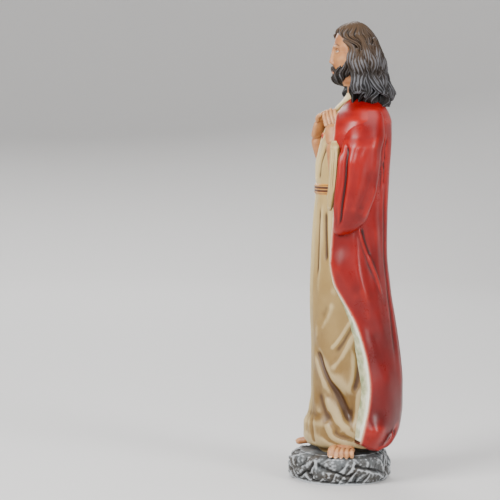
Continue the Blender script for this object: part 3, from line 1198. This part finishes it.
# Places are [x, y, height], and across points to the thumb's side of the palm.
hands = {
    "left": {"elbow": [10.2, -1.4, 61], "wrist": [7.1, -3.4, 71.6], "knuckles": [5.3, -3.3, 75.8],
             "tips": [2.4, -3.9, 79.7], "across": [0.5, 0.85, 0.1], "thumb": [6.5, -0.2, 77.4]},
    "right": {"elbow": [-11.2, -1.2, 62], "wrist": [-7.2, -5.9, 73.0], "knuckles": [-4.9, -5.0, 77.0],
              "tips": [-1.9, -3.9, 79.2], "across": [-0.55, 0.75, 0.35], "thumb": [-5.6, -2.9, 77.6]},
    "palm": [1.9, 1.0], "fingerRadius": 0.48, "fingerGap": 0.98, "reach": [0.94, 1.0, 0.93, 0.78],
    "voxel": 0.34, "smoothing": 3, "marks": [6, 2, 0.35, 0.08],
}


# Hand: bars for the forearm, the flat palm, the four fingers bent at their middle and the thumb,
# fused into one skin. Each finger's bend, tip and directions are given for its nail.
def handParts(shape):
    elbow, wrist, knuckles, tips, thumb, across = (
        np.array(shape[k], float) for k in ("elbow", "wrist", "knuckles", "tips", "thumb", "across"))
    way = knuckles - wrist
    across -= way * across.dot(way) / way.dot(way)
    across = unitVector(across)
    over = unitVector(np.cross(way, across))
    if over.dot((np.sign(wrist[0]), -0.6, 0.3)) < 0:
        over = -over
    half, thin = hands["palm"]
    radius = hands["fingerRadius"]
    forearm = barRows((elbow, 2.2, 2.0), (elbow * 0.5 + wrist * 0.5, 2.05, 1.85),
                      (elbow * 0.15 + wrist * 0.85, 1.75, 1.5), (wrist + way * 0.15, 1.6, 1.2))
    palm = barRows((wrist - way * 0.12, 1.5, 1.1), (wrist + way * 0.3, half * 0.92, thin),
                   (wrist + way * 0.7, half, thin), (knuckles + way * 0.12, half, thin * 0.8))
    ball = wrist + way * 0.5 + across * 2.1
    thumbRows = barRows((wrist + way * 0.1 + across * 0.7, 0.85, 0.8),
                        (wrist + way * 0.45 + across * 1.7 - over * 0.1, 0.8, 0.72),
                        (thumb * 0.6 + ball * 0.4, 0.6, 0.55), (thumb - way * 0.06, 0.46, 0.38))
    parts = [barPart(rows, across) for rows in (forearm, palm, thumbRows)]
    fingers = []
    for k, share in enumerate(hands["reach"]):
        offset = across * (1.5 - k) * hands["fingerGap"]
        root = knuckles + offset * 0.95
        tip = knuckles + (tips - knuckles) * share + offset * 0.92
        bend = root * 0.55 + tip * 0.45 + over * 0.45
        last = bend * 0.4 + tip * 0.6 + over * 0.12
        rows = barRows((root, radius * 1.12, radius * 1.1), (bend, radius * 1.05, radius),
                       (last, radius * 0.92, radius * 0.9), (tip, radius * 0.8, radius * 0.7))
        parts.append(barPart(rows, across, rows=36))
        fingers.append((bend, tip, across, over))
    return parts, fingers


nails = {"thickness": 0.12, "sides": 20, "rows": 6, "finger": [0.3, 0.27], "marks": [8, 3, 0.3, 0.1]}


# Nail: a thin rounded plate, a dome of an ellipse, lying on the last joint.
def nailPart(centre, along, across, over, length, width):
    along, across, over = (unitVector(v) for v in (along, across, over))
    turn = fullTurn(nails["sides"])[None]
    ring = np.linspace(0.05, 1, nails["rows"])[:, None]
    dome = nails["thickness"] * np.sqrt(np.clip(1 - ring ** 2, 0, 1)) + 0 * turn
    x, y = ring * sine(turn) * width, ring * cosine(turn) * length
    top = centre + x[..., None] * across + y[..., None] * along + dome[..., None] * over
    low = top[::-1] - 2 * dome[::-1][..., None] * over
    return ringPart(placed(np.vstack([top, low])))


feet = {
    "left": {"heel": [-0.5, 3.0], "turn": 72, "length": 13.3, "droop": 0.9, "arch": -0.3},
    "right": {"heel": [-2.2, 3.4], "turn": -24, "length": 13.6, "droop": 0.1, "arch": 1.7},
    "toeRadii": [0.88, 0.66, 0.62, 0.58, 0.53], "toeReach": [1, 0.995, 0.96, 0.92, 0.87], "toeGap": 1.16,
    "voxel": 0.37, "smoothing": 2, "marks": [8, 2, 0.45, 0.1],
}


# Foot: bars from the heel to the ball, up the ankle and along each toe, fused into one skin. The
# droop lowers the toes' tips and the arch raises the instep.
def footParts(shape):
    turn, length, lift, arch = shape["turn"], shape["length"], shape["droop"], shape["arch"]
    way = np.array([sine(turn), -cosine(turn), 0])
    inner = np.array([-way[1], way[0], 0]) * -np.sign(turn)
    heel = np.array([*shape["heel"], 0.0])

    def at(along, aside, height):
        return heel + way * along * length + inner * aside + np.array([0, 0, height])

    sole = barRows((at(0.05, 0, 1.5), 1.9, 1.6), (at(0.35, 0, 2.2 + 0.5 * lift + arch), 2.0, 2.2),
                   (at(0.56, 0.05, 1.35 + 0.9 * lift + arch), 2.2, 1.4),
                   (at(0.72, 0.05, 0.95 + 0.9 * lift + 0.5 * arch), 2.5, 1.0),
                   (at(0.81, 0, 0.7 + 0.6 * lift + 0.2 * arch), 2.45, 0.75))
    ankle = barRows((at(0.22, 0, 7.5), 1.7, 1.9), (at(0.26, 0, 4.6), 1.7, 1.9),
                    (at(0.4, 0, 2.4 + arch), 1.9, 1.9))
    parts, toeNails = [barPart(sole, inner), barPart(ankle, inner)], []
    for k, (radius, reach) in enumerate(zip(feet["toeRadii"], feet["toeReach"])):
        aside = (2 - k) * feet["toeGap"]
        root = at(0.69, aside * 0.92, radius * 0.9 + 0.9 * lift + 0.4 * arch)
        joint = at(0.81 + 0.09 * reach, aside, radius * 1.15 + 0.35 * lift)
        tip = at(0.97 * reach + 0.02, aside, radius * 0.72 - 0.95 * lift)
        rows = barRows((root, radius, radius * 0.9), (joint, radius, radius * 0.95),
                       (tip, radius * 0.98, radius * 0.78))
        parts.append(barPart(rows, inner, rows=34))
        along = unitVector(tip - joint)
        over = np.array([0, 0, 1.0]) - along * along[2]
        centre = tip - along * radius * 0.3 + over * radius * 0.66
        toeNails.append(nailPart(centre, along, inner, over, radius * 0.55, radius * 0.5))
    return parts, toeNails


# Hands and feet, fused and painted, and all their nails as one piece.
def makeLimbs():
    nailParts = []
    for name in ("left", "right"):
        parts, fingers = handParts(hands[name])
        mesh = fusedMesh("hand_" + name, parts, hands["voxel"], hands["smoothing"])
        addPiece(mesh, hands["marks"], skinPaint)
        for bend, tip, across, over in fingers:
            place = tip - (tip - bend) * 0.16 + over * hands["fingerRadius"] * 0.78
            nailParts.append(nailPart(place, tip - bend, across, over, *nails["finger"]))
        parts, toeNails = footParts(feet[name])
        mesh = fusedMesh("foot_" + name, parts, feet["voxel"], feet["smoothing"])
        addPiece(mesh, feet["marks"], skinPaint)
        nailParts += toeNails
    addPiece(meshFromParts("nails", nailParts), nails["marks"], nailPaint)


makeLimbs()

hair = {
    "axis": 3.2, "columns": 340, "rows": 180,
    # height, front, back, half width, angle where the face's opening ends
    "sections": [
        [80.3, 1.2, 9.8, 5.4, 52], [81.5, 0.1, 10.6, 6.3, 44], [83.5, -0.3, 10.9, 6.6, 43],
        [85.5, -0.4, 10.2, 6.5, 50], [88, -0.8, 9.3, 6.2, 62], [90.5, -1.4, 8.8, 6, 67],
        [93, -2.2, 8.2, 5.75, 66], [95, -2.7, 7.7, 5.45, 56], [96.6, -2.85, 7, 4.9, 38],
        [97.8, -2.5, 6.2, 4.1, 14], [99, -1.1, 5.1, 2.9, 3], [99.7, 0.6, 3.9, 1.6, 3], [100, 1.7, 3, 0.6, 3]],
    # ripples across the strands: size, count round the head, sway in degrees, its rate up the head
    "deep": [0.46, 13, 40, 30], "middle": [0.16, 41, 60, 41], "fine": [0.09, 103, 50, 77],
    "deepAbove": 0.12,            # size of the deep ripples above the ears
    "slow": [0.42, 58, 3],        # slow waves: size, rate up the head, count round it
    "waves": [[5, 52, 2], [3, 97, -3]],  # waves of the strands: degrees, rate up, count round
    "flare": [0.45, 7], "parting": [0.3, 0.35],  # size and count; depth and half width
    "lockRadius": 0.78, "locks": 30, "lockSides": 32, "lockRows": 60, "lockRibs": (8, 0.08),
    "marks": [10, 2, 0.5, 0.1], "lockMarks": [8, 2, 0.35, 0.07],
}

head = {
    "axis": 2.5, "columns": 220, "rows": 184,
    # height, front, back, half width
    "sections": [
        [85, -0.4, 5, 2.8], [86.1, -1.8, 5.7, 3.4], [87.5, -2.5, 6.4, 3.85], [89.3, -2.7, 6.9, 4.3],
        [91.5, -2.65, 7.3, 4.55], [93.6, -2.6, 7.5, 4.7], [95.7, -2.4, 7.2, 4.6], [97.5, -1.6, 6.2, 4.1],
        [98.75, 0, 4.7, 2.7], [99.2, 1.8, 3.2, 0.9]],
    # aside, height, half width, half height, rise
    "bumps": [
        [0, 93.6, 0.42, 1.0, 0.28], [0, 92.4, 0.36, 1.0, 0.5], [0, 91.3, 0.42, 0.8, 0.62],
        [0, 90.45, 0.58, 0.55, 0.8], [0.62, 90.15, 0.3, 0.34, 0.42], [0.34, 89.78, 0.17, 0.12, -0.3],
        [1.5, 94.0, 1.2, 0.34, 0.34], [1.68, 92.95, 1.0, 0.62, -0.55], [1.68, 92.9, 0.62, 0.42, 0.42],
        [2.5, 91.0, 1.0, 0.9, 0.26], [0, 88.2, 1.0, 0.8, 0.26], [0, 86.6, 0.95, 0.6, 0.35],
        [0, 89.35, 0.16, 0.3, -0.12], [0, 88.62, 0.75, 0.17, 0.24], [0, 88.05, 0.62, 0.2, 0.28],
        [0, 88.36, 0.85, 0.06, -0.2]],
    # eye: aside, height, half width and half height; radii of its iris and pupil
    "eye": [1.68, 92.92, 0.7, 0.24], "iris": 0.26, "pupil": 0.13,
    # lids: rise, distance from the eye's edge, width of the upper lid, the crease over it, the lower lid
    "upperLid": [0.13, 0.1, 0.11], "lidCrease": [-0.1, 0.36, 0.1], "lowerLid": [0.07, 0.08, 0.09],
    "brow": [94.25, 0.3, -0.45, 0.17],  # height, rise toward its middle, fall at its end, half width
    "lips": [88.35, 0.4],         # height and half height of their paint
    "underHair": 0.9,             # how far the head is drawn in under the hair
    "marks": [16, 3, 0.4, 0.06],
    "neck": [[0, 3.4, 77, 2.7, 2.6], [0, 3.2, 82, 2.45, 2.45], [0, 3, 87.5, 2.6, 2.6]],
}


# Head: level ellipses from chin to crown, with the face as bumps that are bells of the distance
# to the side and of the height, and lids that follow an almond round each eye. The marks give
# the painted eyes, brows and lips.
def makeHead():
    low, high = endsOf(head["sections"])
    height = np.linspace(low, high, head["rows"])[:, None]
    front, back, width = columnsAt(head["sections"], height, 3)
    turn = fullTurn(head["columns"])[None]
    angle = wrapped(turn) - 40 * sine(turn)
    aside = np.abs(width * sine(angle))
    facing = smooth(95, 70, np.abs(wrapped(angle)))
    rise = sum(b * np.exp(-((aside - x) / w) ** 2 - ((height - z) / h) ** 2)
               for x, z, w, h, b in head["bumps"])
    eyeX, eyeZ, eyeWide, eyeHigh = head["eye"]
    u = (aside - eyeX) / eyeWide
    lid = np.sqrt(np.clip(1 - u ** 2, 0, 1))
    above = height - (eyeZ + eyeHigh * lid)
    below = (eyeZ - eyeHigh * 0.75 * lid) - height
    within = smooth(1.25, 0.95, np.abs(u))
    for away, name in ((above, "upperLid"), (below, "lowerLid"), (above, "lidCrease")):
        size, distance, wide = head[name]
        rise = rise + within * size * bell(away - distance, wide)
    covered = smooth(-6, 14, np.abs(wrapped(angle)) - tableAt(hair["sections"], height, 4))
    covered = np.maximum(covered * smooth(86, 89, height), smooth(97.2, 98.2, height))
    rise = rise * facing - head["underHair"] * covered
    grid = sectionPoint(head["axis"], front, back, width, angle, height, rise)
    opening = smooth(0.03, -0.05, above) * smooth(0.03, -0.05, below) * facing
    distance = np.hypot(aside - eyeX, height - eyeZ - 0.04)
    iris, pupil = (opening * smooth(head[k], head[k] - 0.05, distance) for k in ("iris", "pupil"))
    lash = bell(above, 0.055) * within * facing
    browHeight, browRise, browFall, browHalf = head["brow"]
    browLine = browHeight + browRise * smooth(0.6, 1.8, aside) + browFall * smooth(1.9, 2.9, aside)
    brow = bell(height - browLine, browHalf)
    brow = brow * smooth(0.55, 0.8, aside) * smooth(3.0, 2.6, aside) * facing
    lipHeight, lipHalf = head["lips"]
    lips = bell(height - lipHeight, lipHalf) * smooth(1.0, 0.7, aside) * facing
    mesh = meshFromParts("head", [ringPart(grid), barPart(head["neck"], rows=40)])
    extra = np.zeros(len(mesh.vertices) - height.size * turn.size)
    painted = {"eyeWhite": opening, "iris": iris, "pupil": pupil, "lash": lash, "brow": brow, "lips": lips}
    for name, values in painted.items():
        setMark(mesh, name, np.concatenate([values.ravel(), extra]))
    addPiece(mesh, head["marks"], facePaint)


makeHead()


# Where a strand that hangs at one angle lies at a height: near the crown it comes from the
# parting over the forehead.
def strandAngle(hangs, height):
    away = np.abs(hangs)
    pull = 62 * bell(away - 72, 34) * smooth(93.5, 99.2, height)
    return np.sign(hangs) * (away - pull)


# Axis, front, back, half width and the face's opening of the hair at a height. Over the crown its
# axis moves to the head's.
def hairSize(height):
    front, back, width, opening = columnsAt(hair["sections"], height, 4)
    axis = hair["axis"] + (head["axis"] - hair["axis"]) * smooth(95, 98, height)
    return axis, front, back, width, opening


# Ripple across the strands, swaying up the head.
def strandRipple(u, height, count, sway, rate):
    return cosine(count * u + sway * sine(height * rate))


# Hair: each ring runs round the outside from one side of the face to the other and back through
# the head. Strands are ripples across the strand angle, in three sizes, over slow waves.
def makeHair():
    low, high = endsOf(hair["sections"])
    share = np.linspace(0, 1, hair["rows"])[:, None]
    height = low + (high - low) * (share + 0.06 * sine(360 * share))
    axis, front, back, width, opening = hairSize(height)
    angle = opening + (360 - 2 * opening) * np.linspace(0, 1, hair["columns"])[None]
    spread = np.linspace(0, 180, 400)
    strands = [np.interp(np.abs(wrapped(row)), strandAngle(spread, h), spread)
               for row, h in zip(angle, height[:, 0])]
    hangs = np.vstack(strands) * np.where(wrapped(angle) < 0, -1, 1)
    u = hangs + sum(turn * sine(height * rate + hangs * count) for turn, rate, count in hair["waves"])
    lower = smooth(97, 90, height)
    (deepSize, *deep), (middleSize, *middle), (fineSize, *fine) = hair["deep"], hair["middle"], hair["fine"]
    flareSize, flareCount = hair["flare"]
    slowSize, slowRate, slowCount = hair["slow"]
    coarse = (hair["deepAbove"] + deepSize * lower) * strandRipple(u, height, *deep)
    coarse = coarse + slowSize * sine(height * slowRate + slowCount * hangs) * lower
    coarse = coarse + flareSize * smooth(87, 83, height) * cosine(flareCount * u)
    close = middleSize * strandRipple(u, height, *middle) + fineSize * strandRipple(u, height, *fine)
    calm = smooth(100.2, 96, height)
    deepParting, wideParting = hair["parting"]
    parting = bell(wrapped(angle) * width / 57, wideParting) * smooth(96, 98, height)
    rise = calm * coarse + (0.25 + 0.75 * calm) * close - deepParting * parting
    outer = sectionPoint(axis, front, back, width, angle, height, rise - 0.15)
    depth = 0.5 + 0.47 * smooth(97, 98.5, height)
    inner = [sectionPoint(axis, axis + depth * (front - axis), back, width * depth, turn * opening, height)
             for turn in (-0.8, 0, 0.8)]
    grid = np.concatenate([outer] + inner, axis=1)
    addPiece(meshFromParts("hair", [ringPart(grid)]), hair["marks"], hairPaint)


# Locks: ribbed bars that follow the strands down the head, sway in and out, and turn up in a
# curl at the shoulder.
def makeLocks():
    draw = np.random.default_rng(11)
    t = np.linspace(0, 1, 15)
    parts = []
    for k in range(hair["locks"]):
        hangs = -180 + 360 * (k + 0.5) / hair["locks"] + draw.uniform(-2, 2)
        if abs(hangs) < 62:
            continue
        top = draw.uniform(93, 98.2)
        end = draw.uniform(80.9, 83.2) + 1.5 * smooth(90, 64, abs(hangs))
        height = top + (end - top) * t
        sway = draw.uniform(3, 5.5) * sine(360 * (t * draw.uniform(1.6, 2.3) + draw.uniform(0, 1)))
        curl = draw.choice([-1, 1]) * draw.uniform(6, 15) * smooth(0.78, 1, t)
        place = strandAngle(hangs + 0 * t, height) + sway * smooth(0, 0.3, t) + curl
        lift = 0.1 + 0.35 * sine(360 * (t * 2.1 + draw.uniform(0, 1))) * smooth(0, 0.4, t)
        lift = lift + 0.7 * smooth(0.8, 0.97, t)
        height = height + 0.9 * smooth(0.88, 1, t) * draw.uniform(0.3, 1.2)
        axis, front, back, width, _ = hairSize(height)
        spot = sectionPoint(axis, front, back, width, place, height, lift)
        spot[:, 2] -= figure["rockHeight"]
        radius = hair["lockRadius"] * draw.uniform(0.85, 1.25)
        thick = radius * (0.35 + 0.65 * smooth(0, 0.3, t)) * (1 - 0.55 * smooth(0.8, 1, t))
        path = np.column_stack([spot / unit, thick * 1.2, thick * 0.75])
        facing = np.array([cosine(hangs), sine(hangs), 0])
        parts.append(barPart(path, facing, hair["lockSides"], hair["lockRows"], hair["lockRibs"]))
    addPiece(meshFromParts("hair_locks", parts), hair["lockMarks"], hairPaint)


beard = {
    "axis": 0.6, "columns": 200, "rows": 84,
    # height, front, back, half width
    "sections": [
        [84.8, -1.0, 1.5, 1.4], [85.3, -2.0, 2, 2.5], [86.2, -2.75, 2.6, 3.3], [87.2, -2.98, 3, 3.95],
        [88.4, -2.75, 3, 4.45], [89.6, -1.8, 3, 4.8], [91, -0.2, 3, 4.95], [92.2, 1.2, 3, 4.85]],
    # angle from the front, height of the lower edge
    "jaw": [[0, 84.8], [25, 84.9], [50, 85.5], [75, 86.4], [95, 87.4], [180, 87.8]],
    "ripples": [[0.24, 12], [0.1, 31], [0.05, 70]],  # size, count round the jaw
    "dip": [-0.5, 16, 88.2, 0.75],  # at the mouth: depth, half width in degrees, height, half height
    "moustache": [[0.1, -2.95, 89.25, 0.46, 0.4], [1.0, -2.85, 88.95, 0.46, 0.4],
                  [1.9, -2.45, 88.2, 0.38, 0.34], [2.5, -2.0, 87.3, 0.24, 0.22]],
    "moustacheRibs": (6, 0.14), "marks": [8, 2, 0.3, 0.06],
}


# Beard: level sections along the jaw with wavy ripples that run down it, under a moustache of
# two ribbed bars.
def makeBeard():
    high = beard["sections"][-1][0]
    angle = fullTurn(beard["columns"])[None]
    low = tableAt(beard["jaw"], np.abs(wrapped(angle)))
    height = low + (high - low) * np.linspace(0, 1, beard["rows"])[:, None]
    front, back, width = columnsAt(beard["sections"], height, 3)
    u = np.abs(wrapped(angle)) * (1 + 0.012 * (height - 86)) + 4 * sine(height * 120)
    rise = sum(size * cosine(count * u) for size, count in beard["ripples"])
    depth, wide, dipHeight, tall = beard["dip"]
    rise = rise + depth * np.exp(-(wrapped(angle) / wide) ** 2 - ((height - dipHeight) / tall) ** 2)
    rise = rise - np.exp(-(height - low) / 0.4)  # turned in at its lower edge
    parts = [ringPart(sectionPoint(beard["axis"], front, back, width, angle, height, rise))]
    for side in (-1, 1):
        path = np.array(beard["moustache"]) * (side, 1, 1, 1, 1)
        parts.append(barPart(path, (0, 0, 1), sides=30, rows=60, ribs=beard["moustacheRibs"]))
    addPiece(meshFromParts("beard", parts), beard["marks"], hairPaint)


makeHair()
makeLocks()
makeBeard()

heart = {
    "centre": [0.2, -4.7, 73.2], "size": 1.35, "rise": 0.6, "wall": 0.8, "columns": 100, "rows": 18,
    "marks": [10, 3, 0.4, 0.1],
}


# Heart: outlines of sin cubed across and a sum of four cosines up, shrinking toward the front
# as a dome.
def makeHeart():
    turn = fullTurn(heart["columns"])[None]
    x = sine(turn) ** 3
    z = (13 * cosine(turn) - 5 * cosine(2 * turn) - 2 * cosine(3 * turn) - cosine(4 * turn)) / 16
    share = np.linspace(1, 0.02, heart["rows"])[:, None]
    dome = np.sqrt(1 - share ** 2) * heart["rise"]
    wall = np.linspace(heart["wall"], 0, 6)[:-1, None]
    share, level = np.vstack([np.ones((5, 1)), share]), np.vstack([-wall, dome])
    x, z = x * share * heart["size"], z * share * heart["size"]
    grid = placed(spotsFrom(x, -level, z) + heart["centre"])
    addPiece(meshFromParts("heart", [ringPart(grid)]), heart["marks"], heartPaint)


makeHeart()
print("pieces made")

# Metres and degrees. The camera stands at an azimuth from the front, toward the left hand.
stage = {
    "floorRadius": 1.5, "curve": 0.9, "wall": 1.5, "columns": 96, "bendRows": 24,
    "floorTone": (0.62, 0.61, 0.6, 1), "floorRoughness": 0.7,
    "air": (0.8, 0.81, 0.83, 1), "airStrength": 0.28,
    "distance": 1.3, "azimuth": 84.0, "height": 0.24, "aim": 0.1505, "lens": 142.8,
    "shift": (-0.185, 0.0), "roll": 0.8,
    "lampAim": 0.15,  # height that every lamp faces
    # azimuth, elevation, distance, size across and up, power
    "lamps": {
        "key": [38, 38, 1.6, (0.7, 1.1), 38],
        "sheen": [82, 25, 1.7, (0.3, 0.6), 8],
        "side": [132, 28, 1.6, (0.5, 1.2), 20],
        "fill": [-80, 30, 1.8, (1.0, 1.2), 22],
        "top": [180, 72, 1.6, (1.0, 1.0), 10],
    },
}


# Floor: a plain pale disc that bends up in a quarter circle into a round wall.
def makeFloor():
    turn = fullTurn(stage["columns"])[None]
    bend = np.linspace(0, 90, stage["bendRows"])[:, None]
    far, curve = stage["floorRadius"], stage["curve"]
    radius = np.vstack([[[0.02]], far + curve * sine(bend), [[far + curve]]])
    rise = np.vstack([[[0.0]], curve * (1 - cosine(bend)), [[stage["wall"]]]])
    grid = spotsFrom(radius * cosine(turn), radius * sine(turn), rise)
    rows, columns, _ = grid.shape
    faces = ringQuads(rows, columns).tolist() + [list(range(columns))]
    mesh = bpy.data.meshes.new("floor")
    mesh.from_pydata(grid.reshape(-1, 3).tolist(), [], faces)
    mesh.polygons.foreach_set("use_smooth", np.ones(len(mesh.polygons), bool))
    pale = bpy.data.materials.new("pale floor")
    pale.use_nodes = True
    shader = pale.node_tree.nodes["Principled BSDF"]
    shader.inputs["Base Color"].default_value = stage["floorTone"]
    shader.inputs["Roughness"].default_value = stage["floorRoughness"]
    mesh.materials.append(pale)
    addObject("floor", mesh)


# Even pale light from all round.
def makeAir():
    world = bpy.data.worlds.new("studio")
    world.use_nodes = True
    background = world.node_tree.nodes["Background"]
    background.inputs["Color"].default_value = stage["air"]
    background.inputs["Strength"].default_value = stage["airStrength"]
    bpy.context.scene.world = world


# Lamp: a soft rectangle that faces the middle of the statue.
def addLamp(name, azimuth, elevation, distance, size, power):
    lamp = bpy.data.lights.new(name, "AREA")
    lamp.shape = "RECTANGLE"
    lamp.size, lamp.size_y = size
    lamp.energy = power
    holder = addObject(name, lamp)
    way = np.array([sine(azimuth) * cosine(elevation), -cosine(azimuth) * cosine(elevation), sine(elevation)])
    holder.location = way * distance + (0, 0, stage["lampAim"])
    holder.rotation_euler = (np.radians(90 - elevation), 0, np.radians(azimuth))


# Camera: turned to its azimuth, pitched at the aim's height, and rolled a little.
def addCamera():
    camera = bpy.data.cameras.new("camera")
    camera.lens = stage["lens"]
    camera.sensor_width = 36
    camera.shift_x, camera.shift_y = stage["shift"]
    camera.clip_start = 0.05
    holder = addObject("camera", camera)
    azimuth, distance = stage["azimuth"], stage["distance"]
    holder.location = (sine(azimuth) * distance, -cosine(azimuth) * distance, stage["height"])
    pitch = np.degrees(np.arctan2(stage["aim"] - stage["height"], distance))
    spin = Matrix.Rotation(np.radians(azimuth), 3, "Z") @ Matrix.Rotation(np.radians(90 + pitch), 3, "X")
    holder.rotation_euler = (spin @ Matrix.Rotation(np.radians(stage["roll"]), 3, "Z")).to_euler()
    bpy.context.scene.camera = holder


makeFloor()
makeAir()
for name, lamp in stage["lamps"].items():
    addLamp(name, *lamp)
addCamera()
print("stage made")
